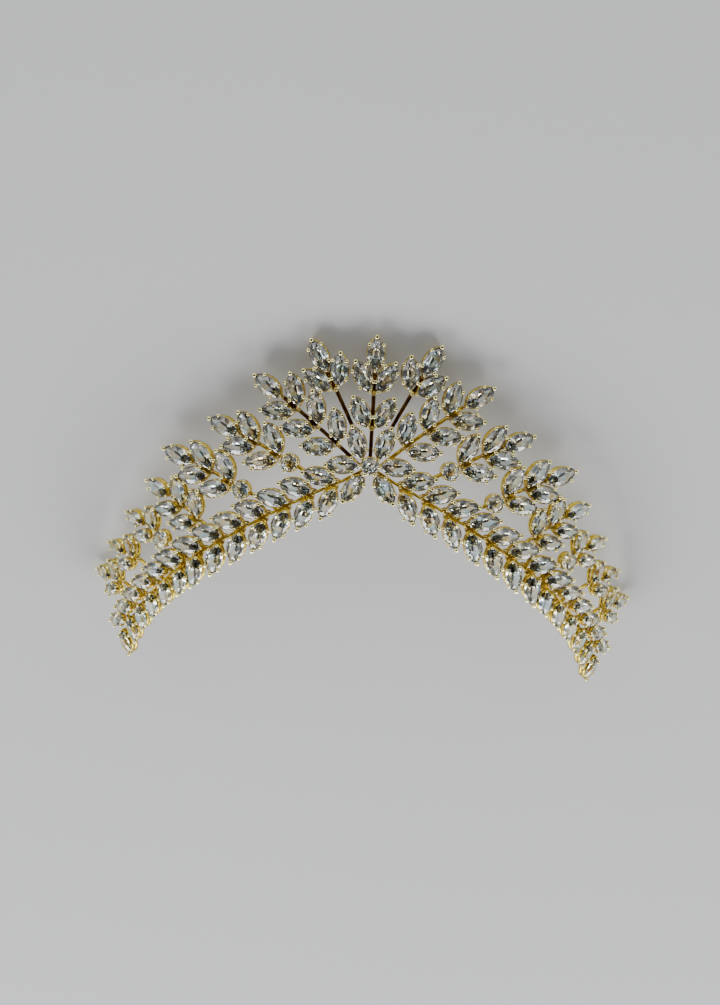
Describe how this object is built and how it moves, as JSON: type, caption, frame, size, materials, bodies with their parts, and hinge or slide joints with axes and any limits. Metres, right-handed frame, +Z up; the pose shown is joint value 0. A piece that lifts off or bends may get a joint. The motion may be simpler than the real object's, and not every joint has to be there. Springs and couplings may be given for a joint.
{
  "type": "tiara",
  "caption": "Gold-coloured tiara with a six-petal flower, a fan of leaf sprays and two rows of leaf-shaped clear stones along a curved band.",
  "frame": {"origin": "on the floor, under the middle of the object's bounding box, as it lies face up", "axes": "+Z up from the floor, +X to the right as seen with the fan pointing away, +Y the way the fan points"},
  "size_m": [0.1446, 0.0922, 0.0223],
  "materials": {
    "metal": "polished, pale gold plate",
    "stone": "clear, faceted"
  },
  "bodies": {
    "root": {"frame": "metal", "centre_stone": "stone", "petal_stones": "stone", "fan_stones": "stone", "left_inner_spray_stones": "stone", "left_branch_stones": "stone", "left_side_spray_1_stones": "stone", "left_side_spray_2_stones": "stone", "left_side_spray_3_stones": "stone", "left_side_spray_4_stones": "stone", "left_side_spray_5_stones": "stone", "left_side_spray_6_stones": "stone", "left_upper_row_stones": "stone", "left_lower_row_stones": "stone", "right_inner_spray_stones": "stone", "right_branch_stones": "stone", "right_side_spray_1_stones": "stone", "right_side_spray_2_stones": "stone", "right_side_spray_3_stones": "stone", "right_side_spray_4_stones": "stone", "right_side_spray_5_stones": "stone", "right_side_spray_6_stones": "stone", "right_upper_row_stones": "stone", "right_lower_row_stones": "stone"}
  },
  "joints": []
}
